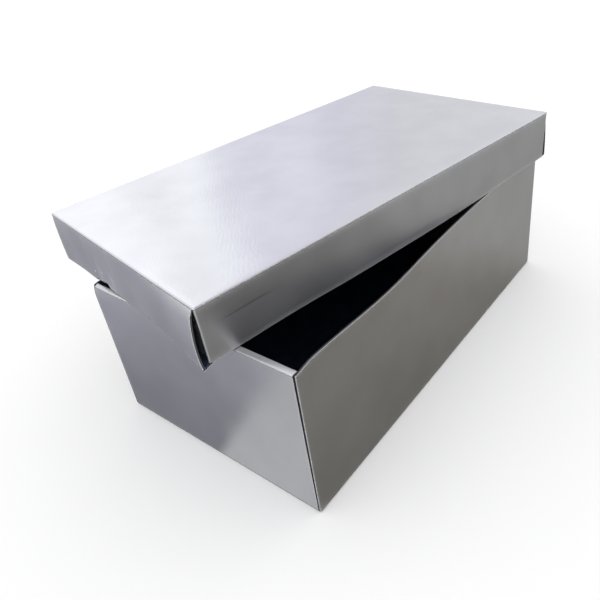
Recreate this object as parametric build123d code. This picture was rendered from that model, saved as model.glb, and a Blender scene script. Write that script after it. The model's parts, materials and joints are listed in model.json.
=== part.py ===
from build123d import *
from dataclasses import dataclass
import os

# A shoe box with a lift-off lid, each half folded from one blank of foil-laminated corrugated
# board and held together without glue. Both halves are the same roll-over-end tray: a floor
# panel, two single long walls with a tab at each end, and two short walls whose board rolls over
# a narrow rim and comes back down as an inner flap, with the tabs caught between the two plies.
# The lid is that tray upside down.
#
# Frame: millimetres, +Z up, +Y along the length, the front (a short end) at -Y. The origin is the
# middle of the base's underside. The lid lies loosely across the open base: flat on the rims,
# pushed to one side and turned.
#
# Every panel between two creases is a solid of its own. The flaps turn on the crease at the rim's
# inner edge, and the lid lifts off straight up.


@dataclass
class Tray:
    """Outside sizes of one folded tray, and how far its corner tabs reach along the short wall."""
    width: float
    length: float
    height: float
    tab_reach: float


# Driving dimensions
board = 1.3
base = Tray(width=185.0, length=330.0, height=112.0, tab_reach=66.0)
lid = Tray(width=192.0, length=342.0, height=37.5, tab_reach=40.0)

# Where the lid lies: its middle, its turn about +Z in degrees, and the air under it
lid_x = -21.1
lid_y = 2.6
lid_turn = -9.56
lid_gap = 0.4

# Folding allowances
slip = 0.35  # air between two plies that lie against each other
corner_slit = 0.7  # between a short wall's free edge and the long wall beside it
crease_radius = 1.1  # outside of a folded edge
flap_play = 0.5  # between a flap's free edge and the floor panel
tab_play = 1.5  # above and below a tab

# Cut outlines
tab_taper = 0.22  # how far a tab's tip narrows at each side, as a share of its height
tab_slope = 0.25  # how long that taper is, as a share of the tab's reach
flap_corner = 6.0  # radius of a flap's free corners

# A doubled short wall: outer ply, tabs and flap with slip between them
end_depth = 3 * board + 2 * slip


def block(x, y, z):
    """A box between the two values given for each axis."""
    centre = [(low + high) / 2 for low, high in (x, y, z)]
    return Pos(*centre) * Box(x[1] - x[0], y[1] - y[0], z[1] - z[0])


def end_half_width(tray):
    """Half the width of the board in a short wall, which stands between the long walls."""
    return tray.width / 2 - board - corner_slit


def floor_panel(tray):
    """The large panel, its four outside edges rounded by the creases."""
    half_x = tray.width / 2
    half_y = tray.length / 2
    solid = block((-half_x, half_x), (-half_y, half_y), (0, board))
    return fillet(solid.faces().sort_by(Axis.Z)[0].edges(), crease_radius)


def long_wall(tray, side):
    """A single-ply wall along Y, its ends rounded where the board turns the corner into a tab."""
    half_y = tray.length / 2
    across = sorted((side * tray.width / 2, side * (tray.width / 2 - board)))
    solid = block(across, (-half_y, half_y), (board, tray.height))
    upright = solid.edges().filter_by(Axis.Z).group_by(Axis.X)
    outside = upright[-1] if side > 0 else upright[0]
    return fillet(outside, crease_radius)


def corner_tab(tray, side):
    """A tab folded from a long wall's front end, lying behind the front wall, its tip tapered."""
    hinge = side * (tray.width / 2 - board)
    tip = hinge - side * tray.tab_reach
    shoulder = tip + side * tab_slope * tray.tab_reach
    low = board + tab_play
    high = tray.height - board - tab_play
    narrow = tab_taper * (high - low)
    outline = [
        (hinge, low),
        (shoulder, low),
        (tip, low + narrow),
        (tip, high - narrow),
        (shoulder, high),
        (hinge, high),
    ]
    front = -tray.length / 2 + board + slip
    face = make_face(Polyline([(x, front, z) for x, z in outline], close=True))
    return extrude(face, amount=board, dir=(0, 1, 0))


def front_wall(tray):
    """The outer ply of the front wall, from the floor panel up to the rim."""
    half_x = end_half_width(tray)
    front = -tray.length / 2
    return block((-half_x, half_x), (front, front + board), (board, tray.height - board))


def front_rim(tray):
    """The narrow panel on top of the front wall, rounded where the board rolls over it."""
    half_x = end_half_width(tray)
    front = -tray.length / 2
    top = tray.height
    solid = block((-half_x, half_x), (front, front + end_depth), (top - board, top))
    creases = solid.faces().sort_by(Axis.Z)[-1].edges().filter_by(Axis.X)
    return fillet(creases, crease_radius)


def front_flap(tray):
    """The inner ply of the front wall, hanging from the rim's inner crease."""
    half_x = end_half_width(tray)
    inside = -tray.length / 2 + end_depth
    solid = block((-half_x, half_x), (inside - board, inside), (board + flap_play, tray.height - board))
    free_corners = solid.edges().filter_by(Axis.Y).group_by(Axis.Z)[0]
    return fillet(free_corners, flap_corner)


def folded(tray, name, wall, sides):
    """The panels of one tray, open side up, by node name. wall is what the object calls its walls,
    and sides what it calls the tray's -X and +X side."""
    half_turn = Rot(0, 0, 180)
    panels = {}
    for side, label in sides.items():
        panels[f"{name}_{label}_{wall}"] = long_wall(tray, side)
        panels[f"{name}_front_{label}_tab"] = corner_tab(tray, side)
        panels[f"{name}_rear_{label}_tab"] = half_turn * corner_tab(tray, -side)
    for label, make in ((wall, front_wall), ("rim", front_rim), ("flap", front_flap)):
        panels[f"{name}_front_{label}"] = make(tray)
        panels[f"{name}_rear_{label}"] = half_turn * make(tray)
    return panels


def base_panels():
    """The base, standing on its bottom panel."""
    panels = folded(base, "base", "wall", {-1: "left", 1: "right"})
    panels["base_bottom"] = floor_panel(base)
    return panels


def lid_panels():
    """The lid: the tray rolled over sideways, which swaps left and right, and laid on the rims."""
    panels = folded(lid, "lid", "skirt", {1: "left", -1: "right"})
    panels["lid_top"] = floor_panel(lid)
    top = base.height + lid_gap + lid.height
    place = Pos(lid_x, lid_y, top) * Rot(0, 0, lid_turn) * Rot(0, 180, 0)
    return {name: place * solid for name, solid in panels.items()}


os.makedirs("parts", exist_ok=True)
for name, solid in {**base_panels(), **lid_panels()}.items():
    export_step(solid, f"parts/{name}.step")
    print(f"{name}: {solid.volume:.0f} mm3")
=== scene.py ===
"""The looks of a shoe box with a lift-off lid, folded from silver foil-laminated board.

Each CAD panel is replaced by a thin sheet of board of the same size in the same place: foil on one
face, black lining on the other, a pale liner and a core painted dark as painted shade along its cut
edges, with soft folds, bowed walls, gaping corners and a dented skirt. Lengths are millimetres in a
tray's own coordinates: x across, y along and h up from the tray's large panel. The lid is a tray
upside down. Everything is turned into the frame's metres by the tray's place.
"""

import json
import math
from dataclasses import dataclass

import bmesh
import bpy
from mathutils import Matrix, Vector, noise


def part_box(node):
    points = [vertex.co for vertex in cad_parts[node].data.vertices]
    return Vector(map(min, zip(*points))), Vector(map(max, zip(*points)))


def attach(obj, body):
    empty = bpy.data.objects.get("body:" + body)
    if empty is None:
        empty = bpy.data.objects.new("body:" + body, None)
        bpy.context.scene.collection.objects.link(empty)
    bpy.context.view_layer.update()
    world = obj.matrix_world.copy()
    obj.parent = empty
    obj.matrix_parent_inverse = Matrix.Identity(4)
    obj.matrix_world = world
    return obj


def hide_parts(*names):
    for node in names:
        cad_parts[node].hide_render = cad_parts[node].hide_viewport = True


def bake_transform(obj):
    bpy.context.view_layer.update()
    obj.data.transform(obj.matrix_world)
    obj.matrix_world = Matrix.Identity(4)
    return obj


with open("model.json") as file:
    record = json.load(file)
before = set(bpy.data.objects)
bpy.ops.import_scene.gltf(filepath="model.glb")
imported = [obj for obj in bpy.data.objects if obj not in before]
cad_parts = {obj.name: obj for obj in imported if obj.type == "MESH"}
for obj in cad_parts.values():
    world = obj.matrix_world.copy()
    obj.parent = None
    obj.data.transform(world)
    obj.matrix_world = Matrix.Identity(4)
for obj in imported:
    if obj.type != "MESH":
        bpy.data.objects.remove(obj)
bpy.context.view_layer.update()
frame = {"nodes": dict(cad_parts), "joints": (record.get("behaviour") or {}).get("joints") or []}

MM = 0.001
X, Y, H = 0, 1, 2
FOIL, LINING, CORE = 0, 1, 2

# How a sheet is divided and folded
PITCH = 4.0  # between mesh lines on the flat
ARC_STEPS = 5  # mesh lines round a fold
FOLD_REACH = 1.35  # how far a fold's curve reaches across the panel
FOLD_DROP = 0.85  # how far it falls away from the panel's face
CUT_BEVEL = 0.12  # on cut edges
WEAR_WIDTH = 0.9  # how far wear spreads from an edge
SHARP_ANGLE = 38.0  # degrees between two faces that don't shade as one
BEVEL_ANGLE = 55.0  # and between two that are bevelled

# Slow unevenness of a panel
BUCKLE_LENGTH = 60.0
BUCKLE_EDGE = 18.0  # distance from an edge over which it dies away
SEED_STEP = 7.3  # between the noise of one panel and the next

NO_LINES = ((), (), ())  # a panel with no extra mesh lines across x, y or h

# How strongly the foil's emboss shows
LARGE_PANEL_GRAIN = 1.0
WALL_GRAIN = 0.05


@dataclass
class Tray:
    """One folded half of the box: the name of its walls, its coordinates' place in the frame, how
    far handling has dulled its walls, from 0 to 1, and its outside size."""
    name: str
    wall: str
    place: Matrix
    dulled: float
    width: float = 0.0
    length: float = 0.0
    height: float = 0.0
    rim_depth: float = 0.0

    def box(self, panel):
        """Lowest and highest corner of a CAD panel, in this tray's millimetres."""
        to_tray = self.place.inverted()
        points = [to_tray @ v.co for v in frame["nodes"][f"{self.name}_{panel}"].data.vertices]
        low = [min(p[axis] for p in points) for axis in range(3)]
        high = [max(p[axis] for p in points) for axis in range(3)]
        return low, high

    def measure(self, floor):
        """Takes the tray's outside sizes from its CAD panels."""
        low, high = self.box(floor)
        self.width = high[X] - low[X]
        self.length = high[Y] - low[Y]
        low, high = self.box("front_rim")
        self.height = high[H]
        self.rim_depth = high[Y] - low[Y]


def lid_place():
    """The lid's coordinates: midway between its flap hinges, turned as they are, upside down."""
    joints = {joint["name"]: joint for joint in frame["joints"]}
    front = joints["lid_front_flap_fold"]
    rear = joints["lid_rear_flap_fold"]
    middle = (Vector(front["pos_m"]) + Vector(rear["pos_m"])) / 2
    across = -Vector(front["axis"])
    turn = math.atan2(across.y, across.x)
    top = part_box("lid_top")[1].z
    upside_down = Matrix.Diagonal((MM, MM, -MM, 1))
    return Matrix.Translation((middle.x, middle.y, top)) @ Matrix.Rotation(turn, 4, "Z") @ upside_down


BOARD = (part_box("base_bottom")[1].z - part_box("base_bottom")[0].z) / MM

base = Tray("base", "wall", Matrix.Diagonal((MM, MM, MM, 1)), dulled=0.72)
base.measure("bottom")
lid = Tray("lid", "skirt", lid_place(), dulled=1.0)
lid.measure("top")


# ---------------------------------------------------------------- shapes

def ease(value):
    """A smooth step from 0 to 1 as value goes from 0 to 1."""
    value = min(1.0, max(0.0, value))
    return value * value * (3 - 2 * value)


def stops(low, high, fold_low, fold_high, extra):
    """Mesh lines across a panel: close together round a fold, even on the flat."""
    turns = [math.sin(math.pi / 2 * step / ARC_STEPS) for step in range(ARC_STEPS + 1)]
    flat_low = low + FOLD_REACH if fold_low else low
    flat_high = high - FOLD_REACH if fold_high else high
    count = max(1, round((flat_high - flat_low) / PITCH))
    lines = {flat_low + (flat_high - flat_low) * step / count for step in range(count + 1)}
    lines.update(extra)
    if fold_low:
        lines.update(flat_low - FOLD_REACH * turn for turn in turns[1:])
    if fold_high:
        lines.update(flat_high + FOLD_REACH * turn for turn in turns[1:])
    return sorted(lines)


def round_fold(value, low, high, fold_low, fold_high):
    """How far round a fold a mesh line is: 0 on the flat, -1 or 1 at a folded edge."""
    if fold_low and value < low + FOLD_REACH:
        return (value - low) / FOLD_REACH - 1
    if fold_high and value > high - FOLD_REACH:
        return 1 - (high - value) / FOLD_REACH
    return 0.0


@dataclass
class Sheet:
    """How one panel becomes a sheet of board.

    thin is the axis it is thin along, and outside the way its foil faces along that axis. folds
    holds (axis, side) for each folded edge, outline moves a point in the panel's plane, bend gives a
    displacement, unfolded gives the point's place on the flat blank, buckle is how uneven the panel
    is, large marks the tray's large panel, and extra holds more mesh lines by axis.
    """
    thin: int
    outside: int
    folds: tuple
    unfolded: object
    bend: object = None
    outline: object = None
    buckle: float = 0.15
    large: bool = False
    extra: tuple = NO_LINES


def build(tray, panel, sheet):
    """The closed mesh of one panel, as an object in the frame that stands for its CAD node."""
    low, high = tray.box(panel)
    u, v = [axis for axis in range(3) if axis != sheet.thin]
    limits = {}
    lines = {}
    for axis in (u, v):
        limits[axis] = (low[axis], high[axis], (axis, -1) in sheet.folds, (axis, 1) in sheet.folds)
        lines[axis] = stops(*limits[axis], sheet.extra[axis])
    face = high[sheet.thin] if sheet.outside > 0 else low[sheet.thin]
    board = high[sheet.thin] - low[sheet.thin]
    seed = Vector((len(panel), ord(panel[0]), ord(panel[-1]))) * SEED_STEP

    mesh = bmesh.new()
    blank_layer = mesh.verts.layers.float_vector.new("blank")
    wear_layer = mesh.verts.layers.float.new("wear")
    handled_layer = mesh.verts.layers.float.new("handled")
    grain_layer = mesh.verts.layers.float.new("grain")
    grids = []
    for inner in (False, True):
        grid = []
        for at_u in lines[u]:
            column = []
            for at_v in lines[v]:
                turn_u = round_fold(at_u, *limits[u])
                turn_v = round_fold(at_v, *limits[v])
                turned = math.hypot(turn_u, turn_v)
                over = max(1.0, turned)
                point = Vector((0, 0, 0))
                point[u] = at_u - FOLD_REACH * turn_u * (1 - 1 / over)
                point[v] = at_v - FOLD_REACH * turn_v * (1 - 1 / over)
                drop = FOLD_DROP * (1 - math.sqrt(max(0.0, 1 - (turned / over) ** 2)))
                if sheet.outline:
                    point = sheet.outline(point, low, high)
                edge = min(at_u - low[u], high[u] - at_u, at_v - low[v], high[v] - at_v)
                ripple = 2 * sheet.buckle * ease(edge / BUCKLE_EDGE)
                ripple *= noise.noise(Vector((point[u], point[v], 0)) / BUCKLE_LENGTH + seed)
                point[sheet.thin] = face - sheet.outside * (board if inner else drop)
                flat = sheet.unfolded(point)
                if sheet.bend:
                    point = point + sheet.bend(point)
                point[sheet.thin] += ripple
                vertex = mesh.verts.new(tray.place @ point)
                vertex[blank_layer] = (flat[0], flat[1], 1.0 if inner else 0.0)
                vertex[wear_layer] = math.exp(-max(0.0, edge) / WEAR_WIDTH)
                vertex[handled_layer] = 0.0 if sheet.large else tray.dulled
                vertex[grain_layer] = LARGE_PANEL_GRAIN if sheet.large else WALL_GRAIN
                column.append(vertex)
            grid.append(column)
        grids.append(grid)
    skin(mesh, grids)
    return finish_piece(mesh, tray, panel)


def skin(mesh, grids):
    """Faces over both grids of a sheet, and round its cut edge."""
    outer, inner = grids
    last_u = len(outer) - 1
    last_v = len(outer[0]) - 1
    for grid, material in ((outer, FOIL), (inner, LINING)):
        for i in range(last_u):
            for j in range(last_v):
                face = mesh.faces.new((grid[i][j], grid[i + 1][j], grid[i + 1][j + 1], grid[i][j + 1]))
                face.material_index = material
    rim = [(i, 0) for i in range(last_u)]
    rim += [(last_u, j) for j in range(last_v)]
    rim += [(i, last_v) for i in range(last_u, 0, -1)]
    rim += [(0, j) for j in range(last_v, 0, -1)]
    for (i, j), (next_i, next_j) in zip(rim, rim[1:] + rim[:1]):
        corners = (outer[i][j], outer[next_i][next_j], inner[next_i][next_j], inner[i][j])
        mesh.faces.new(corners).material_index = CORE
    bmesh.ops.recalc_face_normals(mesh, faces=mesh.faces)


def finish_piece(mesh, tray, panel):
    """Turns the mesh into an object in the scene with materials and crisp cut edges, and hides the CAD
    panel it replaces.
    """
    name = f"{tray.name}_{panel}"
    data = bpy.data.meshes.new(name)
    mesh.to_mesh(data)
    mesh.free()
    data.polygons.foreach_set("use_smooth", [True] * len(data.polygons))
    data.set_sharp_from_angle(angle=math.radians(SHARP_ANGLE))
    piece = bpy.data.objects.new(f"{name}_board", data)
    bpy.context.scene.collection.objects.link(piece)
    for material in (foil, lining, core):
        data.materials.append(material)
    bevel = piece.modifiers.new("cut_edge", "BEVEL")
    bevel.width = CUT_BEVEL * MM
    bevel.segments = 2
    bevel.limit_method = "ANGLE"
    bevel.angle_limit = math.radians(BEVEL_ANGLE)
    bevel.harden_normals = False
    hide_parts(name)
    return piece


# ---------------------------------------------------------------- how the board has bent
# Each function gives a bend: the displacement of a point of the flat, square-cornered tray.

GAPE_WIDTH = 32.0  # how far along a short wall its gape dies away
TUCK_WIDTH = 30.0  # and along a long wall, its tuck
TAB_ROOT = 5.0  # length of tab that follows the tuck
TOUCHING = 0.1  # a wall's top this close to the rim's underside is part of the rim's fold


def toward(value, centre, before, after):
    """A smooth bump: 1 at centre, 0 from before it and from after it."""
    reach = before if value < centre else after
    return ease(1 - abs(value - centre) / reach)


def over_rim(tray, point):
    """The share of an outer edge's movement that a point takes: a rim's inner edge stays put."""
    if point.z < tray.height - BOARD - TOUCHING:
        return 1.0
    depth = tray.length / 2 - abs(point.y)
    return 1 - ease(depth / tray.rim_depth)


def through(marks, at):
    """A smooth curve through (place, value) marks."""
    after = next((index for index, mark in enumerate(marks) if mark[0] > at), len(marks) - 1)
    near = [marks[min(max(index, 0), len(marks) - 1)] for index in range(after - 2, after + 2)]
    (p0, v0), (p1, v1), (p2, v2), (p3, v3) = near
    step = p2 - p1
    share = min(1.0, max(0.0, (at - p1) / step))
    slope_1 = (v2 - v0) / (p2 - p0) * step
    slope_2 = (v3 - v1) / (p3 - p1) * step
    square = share * share
    cube = square * share
    value = v1 * (2 * cube - 3 * square + 1) + v2 * (3 * square - 2 * cube)
    return value + slope_1 * (cube - 2 * square + share) + slope_2 * (cube - square)


def lean(tray, marks, power):
    """A long wall leaning along x at its free edge by the marks' (y, x), and less towards its fold."""
    ends = ((-tray.length / 2, 0.0), *marks, (tray.length / 2, 0.0))

    def bend(point):
        return Vector((through(ends, point.y) * (point.z / tray.height) ** power, 0, 0))

    return bend


def tuck(tray, front, rear):
    """A long wall's vertical folds drawn in along y, by front at one end and rear at the other."""
    def bend(point):
        end = 1 if point.y > 0 else -1
        share = point.z / tray.height
        amount = (rear if end > 0 else front) * share ** 0.35
        from_end = tray.length / 2 - abs(point.y)
        from_root = tray.width / 2 - abs(point.x)
        amount *= 1 - ease(from_end / TUCK_WIDTH)
        amount *= 1 - ease((from_root - BOARD) / TAB_ROOT)
        return Vector((0, -end * amount, 0))

    return bend


def gape(tray, end, side, out, over=-0.4, droop=0.0, width=GAPE_WIDTH):
    """One free corner of a short wall standing out from the box, moved sideways by over and down by
    droop at the rim. It rises steeply from its fold and has a belly half way up."""
    def bend(point):
        near = 1 - ease((tray.width / 2 - side * point.x) / width)
        share = min(1.0, max(0.0, (point.z - BOARD) / (tray.height - 2 * BOARD)))
        belly = share ** 0.4 * (1 - 0.15 * share ** 4) + 0.8 * share * (1 - share)
        moved = near * over_rim(tray, point)
        x = side * over * share * near
        y = end * out * belly * moved
        h = droop * share ** 2 * moved
        return Vector((x, y, h))

    return bend


def soft_roll(tray, side, drop, reach, depth):
    """The front fold crushed to a wide soft roll where it meets one long wall, which it drags in.
    The roll is drop deep and reach long, and goes in by depth."""
    wall_reach = 12.0
    sag = 0.45  # share of the depth that it also sinks

    def bend(point):
        along = 1 - ease((tray.width / 2 - side * point.x) / reach)
        along *= 1 - ease((point.y + tray.length / 2) / wall_reach)
        share = max(0.0, 1 - (tray.height - point.z) / drop) ** 2
        moved = along * share * over_rim(tray, point)
        return Vector((0, depth * moved, -sag * depth * moved))

    return bend


def crumple(tray, centre, lift, before, after):
    """The front skirt's lower edge pushed up at x = centre, with two sharp facets over it."""
    facet = 4.5
    ridge_x = centre + 0.6 * facet
    valley_x = centre + 2.2 * facet
    ridge_depth = 0.8
    valley_depth = 0.9
    start = 0.4  # share of the skirt that stays flat

    def bend(point):
        low = ease((point.z / tray.height - start) / (1 - start))
        near = toward(point.x, centre, before, after)
        ridge = max(0.0, 1 - abs(point.x - ridge_x) / facet)
        valley = max(0.0, 1 - abs(point.x - valley_x) / facet)
        share = low * over_rim(tray, point)
        return Vector((0, (valley_depth * valley - ridge_depth * ridge) * share, -lift * near * share))

    return bend


def dimple(across, up, half_width, half_height, depth):
    """A small dent in a front panel."""
    def bend(point):
        away = math.hypot((point.x - across) / half_width, (point.z - up) / half_height)
        return Vector((0, depth * (1 - ease(away)), 0))

    return bend


def fold_mark(up, first, last, depth):
    """A faint straight crease in the right-hand long wall, at one height from first to last. It is
    steep on the side of the tray's large panel, and dies away slowly on the other."""
    steep = 0.8
    slow = 5.0
    fade = 6.0

    def bend(point):
        across = max(0.0, 1 - abs(point.z - up) / (steep if point.z < up else slow))
        along = ease((point.y - first) / fade) * ease((last - point.y) / fade)
        return Vector((-depth * across * along, 0, 0))

    return bend


def all_of(*bends):
    """The sum of several displacements."""
    return lambda point: sum((bend(point) for bend in bends), Vector((0, 0, 0)))


# ---------------------------------------------------------------- the panels of a tray

TAB_TAPER = 0.22
TAB_SLOPE = 0.25
FLAP_CORNER = 6.0
FLAP_TRIM = 3.5  # how far a flap's side edges fall short of the rim's


def taper_tab(side):
    """A tab's outline: its tip, towards -side * x, is narrower than its root."""
    def outline(point, low, high):
        reach = high[X] - low[X]
        from_tip = point.x - low[X] if side > 0 else high[X] - point.x
        share = max(0.0, 1 - from_tip / (TAB_SLOPE * reach))
        middle = (low[H] + high[H]) / 2
        point.z = middle + (point.z - middle) * (1 - 2 * TAB_TAPER * share)
        return point

    return outline


def round_flap(point, low, high):
    """A flap's outline: trimmed at the sides, its two free corners rounded."""
    inside = max(0.0, low[H] + FLAP_CORNER - point.z)
    half = (high[X] - low[X]) / 2
    trim = FLAP_TRIM + FLAP_CORNER - math.sqrt(max(0.0, FLAP_CORNER ** 2 - inside ** 2))
    point.x *= (half - trim) / half
    return point


def long_wall(tray, side, bend, extra):
    folds = ((Y, -1), (Y, 1))
    label = "right" if side > 0 else "left"

    def unfolded(point):
        return (side * (tray.width / 2 + point.z), point.y)

    sheet = Sheet(X, side, folds, unfolded, bend=bend, buckle=0.12, extra=extra)
    return build(tray, f"{label}_{tray.wall}", sheet)


def corner_tab(tray, side, end, bend):
    def unfolded(point):
        return (side * (tray.width / 2 + point.z), end * (tray.length - abs(point.x)))

    sheet = Sheet(Y, end, (), unfolded, bend=bend, outline=taper_tab(side), buckle=0.1)
    name = f"{'front' if end < 0 else 'rear'}_{'right' if side > 0 else 'left'}_tab"
    return build(tray, name, sheet)


def end_wall(tray, end, bend, extra):
    def unfolded(point):
        return (point.x, end * (tray.length / 2 + point.z))

    sheet = Sheet(Y, end, (), unfolded, bend=bend, buckle=0.2, extra=extra)
    return build(tray, f"{'front' if end < 0 else 'rear'}_{tray.wall}", sheet)


def end_rim(tray, end, bend, extra):
    folds = ((Y, -1), (Y, 1))

    def unfolded(point):
        return (point.x, end * (tray.length + tray.height - abs(point.y)))

    sheet = Sheet(H, 1, folds, unfolded, bend=bend, buckle=0.0, extra=extra)
    return build(tray, f"{'front' if end < 0 else 'rear'}_rim", sheet)


def end_flap(tray, end):
    def unfolded(point):
        return (point.x, end * (tray.length / 2 + 2 * tray.height - point.z))

    sheet = Sheet(Y, -end, (), unfolded, outline=round_flap, buckle=0.15)
    name = f"{'front' if end < 0 else 'rear'}_flap"
    piece = build(tray, name, sheet)
    low, high = tray.box(name)
    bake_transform(piece)
    return piece


def floor(tray, panel):
    folds = ((X, -1), (X, 1), (Y, -1), (Y, 1))
    sheet = Sheet(H, -1, folds, lambda point: (point.x, point.y), buckle=0.3, large=True)
    return build(tray, panel, sheet)


def fold_up(tray, panel, long_bends, end_bends, extra):
    """Every panel of one tray. The bends go by side and by end, and extra holds their fine lines."""
    riding = [floor(tray, panel)]
    for side, bend in long_bends.items():
        riding.append(long_wall(tray, side, bend, extra["long", side]))
        for end in (-1, 1):
            riding.append(corner_tab(tray, side, end, bend))
    for end, bend in end_bends.items():
        riding.append(end_wall(tray, end, bend, extra["end", end]))
        riding.append(end_rim(tray, end, bend, (extra["end", end][X], (), ())))
        end_flap(tray, end)
    for piece in riding:
        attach(piece, tray.name)


# ---------------------------------------------------------------- materials

class Graph:
    """Adds shader nodes to a material or a world, and joins them."""

    def __init__(self, owner):
        owner.use_nodes = True
        self.tree = owner.node_tree
        self.tree.nodes.clear()

    def node(self, kind, inputs=None, **settings):
        made = self.tree.nodes.new(f"ShaderNode{kind}")
        for name, value in settings.items():
            setattr(made, name, value)
        for name, value in (inputs or {}).items():
            self.feed(made.inputs[name], value)
        return made

    def feed(self, socket, value):
        if isinstance(value, bpy.types.NodeSocket):
            self.tree.links.new(value, socket)
        else:
            socket.default_value = value

    def math(self, operation, *values):
        made = self.node("Math", operation=operation)
        for socket, value in zip(made.inputs, values):
            self.feed(socket, value)
        return made.outputs[0]

    def ramp(self, value, low, high, to_low=0.0, to_high=1.0):
        """value from low..high to to_low..to_high, eased at both ends."""
        made = self.node("MapRange", interpolation_type="SMOOTHSTEP")
        for socket, number in zip(made.inputs, (value, low, high, to_low, to_high)):
            self.feed(socket, number)
        return made.outputs[0]

    def add_ramp(self, total, value, low, high, change):
        """total, with change eased in as value goes from low to high."""
        return self.math("ADD", total, self.ramp(value, low, high, 0.0, change))

    def blend(self, share, first, second):
        """Between two colours."""
        made = self.node("Mix", data_type="RGBA")
        self.feed(made.inputs[0], share)
        self.feed(made.inputs[6], first)
        self.feed(made.inputs[7], second)
        return made.outputs[2]

    def noise(self, vector, scale, detail=2.0, stretch=None):
        if stretch:
            vector = self.node("VectorMath", {0: vector, 1: stretch}, operation="MULTIPLY").outputs[0]
        made = self.node("TexNoise", {"Vector": vector, "Scale": scale, "Detail": detail})
        return made.outputs["Fac"]

    def tinted(self, value, tint):
        """A grey value in a tint."""
        made = self.node("VectorMath", {0: tint, "Scale": value}, operation="SCALE")
        return made.outputs[0]

    def attribute(self, name):
        return self.node("Attribute", attribute_name=name).outputs


FLUTE_PITCH = 4.45  # of the corrugated core, whose flutes run along the blank


def new_material(name):
    material = bpy.data.materials.new(name)
    return material, Graph(material)


def surface(graph, inputs):
    shader = graph.node("BsdfPrincipled", inputs)
    output = graph.node("OutputMaterial")
    graph.tree.links.new(shader.outputs[0], output.inputs["Surface"])


def foil_material():
    """Silver foil on board: the flutes show through, crossed by a net-like emboss with a fine linen
    over it. Lightly scuffed, and worn to the paper at its folds."""
    material, graph = new_material("silver_foil")
    blank = graph.attribute("blank")["Vector"]
    wear = graph.attribute("wear")["Fac"]
    place = graph.node("SeparateXYZ", {0: blank}).outputs

    def ridges(along, pitch, wander):
        phase = graph.math("MULTIPLY_ADD", graph.noise(blank, 0.05, 2.0), wander, along)
        return graph.math("SINE", graph.math("MULTIPLY", phase, 2 * math.pi / pitch))

    flutes = ridges(place[0], FLUTE_PITCH, 3.0)
    net = graph.math("MULTIPLY", flutes, ridges(place[1], 3.6, 4.0))
    strength = graph.ramp(graph.noise(blank, 0.15, 1.0), 0.35, 0.65, 0.002, 0.012)
    height = graph.math("MULTIPLY", net, strength)
    height = graph.math("MULTIPLY_ADD", graph.noise(blank, 0.65, 3.0), 0.088, height)
    height = graph.math("MULTIPLY", height, graph.attribute("grain")["Fac"])
    height = graph.math("MULTIPLY_ADD", flutes, 0.002, height)
    bump = graph.node("Bump", {"Strength": 1.0, "Distance": MM, "Height": height})

    scratch = graph.ramp(graph.noise(blank, 1.0, 1.0, stretch=(0.05, 1.6, 1.0)), 0.70, 0.73)
    scratch = graph.math("MULTIPLY", scratch, graph.ramp(graph.noise(blank, 0.02), 0.55, 0.65))
    cloud = graph.noise(blank, 0.03, 3.0)
    rough = graph.ramp(cloud, 0.3, 0.7, 0.11, 0.15)
    rough = graph.math("MULTIPLY_ADD", graph.attribute("handled")["Fac"], 0.24, rough)
    rough = graph.math("MULTIPLY_ADD", wear, 0.12, rough)
    rough = graph.math("MULTIPLY_ADD", scratch, 0.05, rough)

    silver = graph.blend(graph.ramp(cloud, 0.3, 0.7), (0.60, 0.60, 0.612, 1), (0.64, 0.64, 0.652, 1))
    chip = graph.math("MULTIPLY", wear, graph.ramp(graph.noise(blank, 1.3, 4.0), 0.45, 0.65))
    worn = graph.blend(graph.ramp(chip, 0.45, 0.8), silver, (0.74, 0.74, 0.73, 1))
    colour = graph.blend(graph.math("MULTIPLY", scratch, 0.1), worn, (0.72, 0.72, 0.72, 1))
    surface(graph, {
        "Base Color": colour,
        "Metallic": graph.ramp(chip, 0.45, 0.8, 0.92, 0.5),
        "Roughness": rough,
        "Normal": bump.outputs["Normal"],
    })
    return material


def lining_material():
    """The blue-black paper inside, matt with a fine fibre and a faint trace of the flutes."""
    material, graph = new_material("black_lining")
    blank = graph.attribute("blank")["Vector"]
    fibre = graph.noise(blank, 1.2, 4.0, stretch=(1.0, 0.35, 1.0))
    along = graph.node("SeparateXYZ", {0: blank}).outputs
    flute = graph.math("SINE", graph.math("MULTIPLY", along[0], 2 * math.pi / FLUTE_PITCH))
    height = graph.math("MULTIPLY", fibre, 0.03)
    height = graph.math("MULTIPLY_ADD", flute, 0.012, height)
    bump = graph.node("Bump", {"Strength": 1.0, "Distance": MM, "Height": height})
    patch = graph.ramp(graph.noise(blank, 0.05, 3.0), 0.35, 0.65)
    colour = graph.blend(patch, (0.021, 0.031, 0.060, 1), (0.030, 0.043, 0.080, 1))
    surface(graph, {
        "Base Color": colour,
        "Roughness": graph.ramp(fibre, 0.3, 0.7, 0.62, 0.8),
        "Specular IOR Level": 0.25,
        "Normal": bump.outputs["Normal"],
    })
    return material


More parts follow.
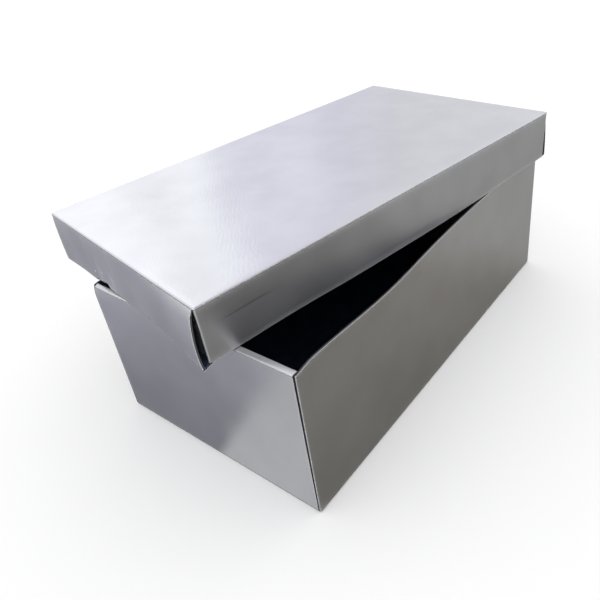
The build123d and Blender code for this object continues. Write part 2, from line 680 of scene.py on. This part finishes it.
def core_material():
    """A cut edge: the foil's bright liner, core and crushed flutes painted dark as painted shade, and
    the dark lining's edge.
    """
    material, graph = new_material("cut_core")
    blank = graph.attribute("blank")["Vector"]
    place = graph.node("SeparateXYZ", {0: blank}).outputs
    depth = place[2]
    fibre = graph.noise(blank, 2.5, 4.0)
    wave = graph.math("SINE", graph.math("MULTIPLY", place[0], 2 * math.pi / FLUTE_PITCH))
    middle = graph.math("MULTIPLY_ADD", wave, 0.16, 0.5)
    off = graph.math("ABSOLUTE", graph.math("SUBTRACT", depth, middle))
    # painted shade: the core paper is painted near black and its flute hollows darker still, for the
    # shade inside the cut edge
    paper = graph.blend(graph.ramp(fibre, 0.3, 0.7), (0.07, 0.07, 0.07, 1), (0.11, 0.11, 0.11, 1))
    flutes = graph.blend(graph.ramp(off, 0.04, 0.10), paper, (0.02, 0.02, 0.024, 1))
    bright = graph.blend(graph.ramp(depth, 0.10, 0.20), (0.70, 0.70, 0.71, 1), flutes)
    lined = graph.blend(graph.ramp(depth, 0.80, 0.84), bright, (0.12, 0.12, 0.13, 1))
    colour = graph.blend(graph.ramp(depth, 0.90, 0.94), lined, (0.03, 0.03, 0.04, 1))
    height = graph.math("MULTIPLY", fibre, 0.1)
    bump = graph.node("Bump", {"Strength": 0.6, "Distance": MM, "Height": height})
    surface(graph, {"Base Color": colour, "Roughness": 0.75, "Normal": bump.outputs["Normal"]})
    return material


foil = foil_material()
lining = lining_material()
core = core_material()


# ---------------------------------------------------------------- the box

def spaced(first, last, pitch):
    """Mesh lines from first to last, pitch apart."""
    return tuple(first + pitch * step for step in range(round((last - first) / pitch) + 1))


# The base: its long walls wave, and its front fold is crushed beside the left wall.
CRUSH_DROP = 10.0
crushed_fold = soft_roll(base, side=-1, drop=CRUSH_DROP, reach=34.0, depth=1.5)
crushed_lines = spaced(base.height - CRUSH_DROP - 2.0, base.height - 2.0, 1.0)
fold_up(
    base,
    "bottom",
    long_bends={
        -1: all_of(
            lean(base, ((-120.0, 0.8), (-20.0, 1.8), (90.0, 0.7)), power=1.6),
            tuck(base, front=0.3, rear=0.5),
            crushed_fold,
        ),
        1: all_of(
            lean(base, ((-147.0, -1.8), (-78.0, 1.2), (-8.0, -1.5), (45.0, -2.1)), power=1.6),
            tuck(base, front=0.4, rear=0.8),
        ),
    },
    end_bends={
        -1: all_of(
            gape(base, end=-1, side=-1, out=0.2),
            gape(base, end=-1, side=1, out=0.2),
            crushed_fold,
        ),
        1: all_of(gape(base, end=1, side=-1, out=0.6), gape(base, end=1, side=1, out=0.4)),
    },
    extra={
        ("long", -1): NO_LINES,
        ("long", 1): NO_LINES,
        ("end", -1): ((), (), crushed_lines),
        ("end", 1): NO_LINES,
    },
)

# The lid: its skirts lean out and its corners gape. The base's corner has rumpled the front skirt.
MARK_UP = 15.5
fold_up(
    lid,
    "top",
    long_bends={
        -1: all_of(
            lean(lid, ((-60.0, -1.2), (60.0, -1.5)), power=1.1),
            tuck(lid, front=0.8, rear=1.2),
        ),
        1: all_of(
            lean(lid, ((-110.0, 0.2), (-50.0, 2.6), (45.0, 3.6)), power=1.0),
            tuck(lid, front=1.0, rear=1.8),
            fold_mark(up=MARK_UP, first=-158.0, last=-120.0, depth=0.13),
        ),
    },
    end_bends={
        -1: all_of(
            gape(lid, end=-1, side=-1, out=1.0),
            gape(lid, end=-1, side=1, out=4.7, over=2.0, droop=2.3, width=62.0),
            crumple(lid, centre=-38.0, lift=3.2, before=6.0, after=20.0),
            dimple(across=-15.0, up=23.0, half_width=2.2, half_height=5.0, depth=0.7),
        ),
        1: all_of(gape(lid, end=1, side=-1, out=1.5), gape(lid, end=1, side=1, out=2.2, over=1.4)),
    },
    extra={
        ("long", -1): NO_LINES,
        ("long", 1): ((), (), spaced(MARK_UP - 1.2, MARK_UP + 1.2, 0.4)),
        ("end", -1): (spaced(-46.0, -10.0, 1.0), (), spaced(17.0, 35.0, 1.5)),
        ("end", 1): NO_LINES,
    },
)


# ---------------------------------------------------------------- the studio

def studio_floor():
    """A pale floor. In the foil's reflections it is a painted glow, a soft grey sweep with painted shade
    darker close to the box.
    """
    half = 10.0
    data = bpy.data.meshes.new("studio_floor")
    corners = [(-half, -half, 0), (half, -half, 0), (half, half, 0), (-half, half, 0)]
    data.from_pydata(corners, [], [(0, 1, 2, 3)])
    ground = bpy.data.objects.new("studio_floor", data)
    bpy.context.scene.collection.objects.link(ground)
    ground.location.z = -0.5 * MM

    material, graph = new_material("studio_floor")
    data.materials.append(material)
    position = graph.node("NewGeometry").outputs["Position"]
    place = graph.node("SeparateXYZ", {0: position}).outputs
    x, y = place[0], place[1]

    # In front of the box: painted shade, bluish on the left, and painted light right of a slanting line
    front_y = -base.length / 2 * MM
    shade = graph.ramp(y, front_y, -0.30, 0.23, 0.44)
    shade = graph.add_ramp(shade, x, -0.095, -0.25, 0.07)
    front_left = graph.tinted(shade, (0.97, 0.97, 1.14))
    front_right = graph.tinted(0.585, (0.98, 1.0, 1.03))
    line_slope = 0.3
    line_x = 0.0584
    past_line = graph.math("SUBTRACT", x, graph.math("MULTIPLY_ADD", y, line_slope, line_x))
    front = graph.blend(graph.ramp(past_line, -0.012, 0.002), front_left, front_right)

    # Right of the box: painted shade, dark and warm near its front, lighter and greyer towards its rear
    shade = graph.ramp(y, -0.05, 0.08, 0.13, 0.165)
    shade = graph.add_ramp(shade, y, 0.09, 0.21, 0.15)
    shade = graph.add_ramp(shade, x, 0.10, 0.16, 0.045)
    shade = graph.add_ramp(shade, x, 0.23, 0.33, -0.12)
    tint = graph.blend(graph.ramp(y, 0.10, 0.22), (1.07, 1.0, 0.87, 1), (1.0, 1.0, 0.96, 1))
    right = graph.tinted(shade, tint)

    # The two meet on a diagonal from the box's front right corner, and fade to grey far away
    corner_sum = base.width / 2 * MM + front_y
    past_corner = graph.math("SUBTRACT", graph.math("ADD", x, y), corner_sum)
    sweep = graph.blend(graph.ramp(past_corner, -0.015, 0.015), front, right)
    distance = graph.node("VectorMath", {0: position}, operation="LENGTH").outputs["Value"]
    sweep = graph.blend(graph.ramp(distance, 0.45, 1.3), sweep, (0.60, 0.60, 0.62, 1))

    # painted reflection: for glossy rays the floor glows with the painted sweep, and the camera sees the
    # plain pale paint
    glow = graph.node("Emission", {"Color": sweep, "Strength": 1.0})
    paint = graph.node("BsdfDiffuse", {"Color": (0.93, 0.93, 0.93, 1)})
    rays = graph.node("LightPath")
    chosen = graph.node("MixShader", {0: rays.outputs["Is Glossy Ray"]})
    graph.tree.links.new(paint.outputs[0], chosen.inputs[1])
    graph.tree.links.new(glow.outputs[0], chosen.inputs[2])
    output = graph.node("OutputMaterial")
    graph.tree.links.new(chosen.outputs[0], output.inputs["Surface"])


def studio_sky():
    """An even white tent. Reflections see a bright bank at the back left with a darker band down it,
    a soft round lamp, and a dim right side. Angles are degrees, azimuth from +Y towards +X."""
    world = bpy.data.worlds.new("studio")
    bpy.context.scene.world = world
    graph = Graph(world)
    direction = graph.node("TexCoord").outputs["Generated"]
    way = graph.node("SeparateXYZ", {0: direction}).outputs
    azimuth = graph.math("MULTIPLY", graph.math("ARCTAN2", way[0], way[1]), 180 / math.pi)
    height = graph.math("MULTIPLY", graph.math("ARCSINE", way[2]), 180 / math.pi)

    bank_inside = -52.4
    bank_outside = -49.2
    bright = graph.ramp(azimuth, bank_inside, bank_outside, 1.35, 1.0)
    for start, stop, change in (
        (-59.0, -61.5, 0.08),
        (-68.0, -84.0, -0.36),
        (-48.0, -37.0, -0.10),
        (-32.0, -18.0, 0.05),
    ):
        bright = graph.add_ramp(bright, azimuth, start, stop, change)

    band_height = 26.0
    band_azimuth = -56.3
    band_slope = 0.25
    above = graph.math("SUBTRACT", height, band_height)
    band_middle = graph.math("MULTIPLY_ADD", above, band_slope, band_azimuth)
    off_band = graph.math("ABSOLUTE", graph.math("SUBTRACT", azimuth, band_middle))
    bright = graph.math("MULTIPLY", bright, graph.ramp(off_band, 0.8, 2.8, 0.89, 1.0))
    bright = graph.math("MULTIPLY", bright, graph.ramp(height, 16.0, 29.0, 0.97, 1.07))

    lamp_azimuth = -42.2
    lamp_height = 21.9
    foreshortening = math.cos(math.radians(lamp_height))
    across = graph.math("SUBTRACT", azimuth, lamp_azimuth)
    across = graph.math("MULTIPLY", across, foreshortening)
    up = graph.math("SUBTRACT", height, lamp_height)
    square = graph.math("MULTIPLY_ADD", up, up, graph.math("MULTIPLY", across, across))
    bright = graph.add_ramp(bright, graph.math("SQRT", square), 3.7, 2.7, 0.13)

    dim_from = graph.ramp(azimuth, 40.0, 58.0)
    dim_to = graph.ramp(azimuth, 120.0, 98.0)
    dim = graph.math("MULTIPLY", graph.math("MULTIPLY", dim_from, dim_to), graph.ramp(height, 8.0, 20.0))
    bright = graph.math("MULTIPLY", bright, graph.math("MULTIPLY_ADD", dim, -0.65, 1.0))

    white = (0.985, 1.005, 1.05, 1)
    lavender = (0.98, 0.985, 1.11, 1)
    grey = (1.0, 1.01, 1.06, 1)
    tint = graph.blend(graph.ramp(azimuth, bank_inside, bank_outside), white, lavender)
    tint = graph.blend(graph.ramp(azimuth, -39.0, -30.0), tint, grey)
    reflected = graph.tinted(bright, tint)
    rays = graph.node("LightPath")
    seen = graph.blend(rays.outputs["Is Glossy Ray"], (1.15, 1.15, 1.15, 1), reflected)
    background = graph.node("Background", {"Color": seen, "Strength": 1.0})
    output = graph.node("OutputWorld")
    graph.tree.links.new(background.outputs[0], output.inputs["Surface"])


def studio_camera():
    """At the near front right corner, above the lid, held a little out of level."""
    place = (0.26155, -0.32381, 0.31613)
    azimuth = math.radians(41.97)
    elevation = math.radians(32.47)
    roll = math.radians(-8.12)
    data = bpy.data.cameras.new("camera")
    data.sensor_width = 36.0
    data.lens = 35.55
    data.shift_x = -0.0331
    data.shift_y = -0.0346
    camera = bpy.data.objects.new("camera", data)
    bpy.context.scene.collection.objects.link(camera)
    turn = Matrix.Rotation(azimuth, 4, "Z") @ Matrix.Rotation(math.pi / 2 - elevation, 4, "X")
    turn = turn @ Matrix.Rotation(roll, 4, "Z")
    camera.matrix_world = Matrix.Translation(place) @ turn
    bpy.context.scene.camera = camera


studio_floor()
studio_sky()
studio_camera()
bpy.context.scene.view_settings.view_transform = "Standard"
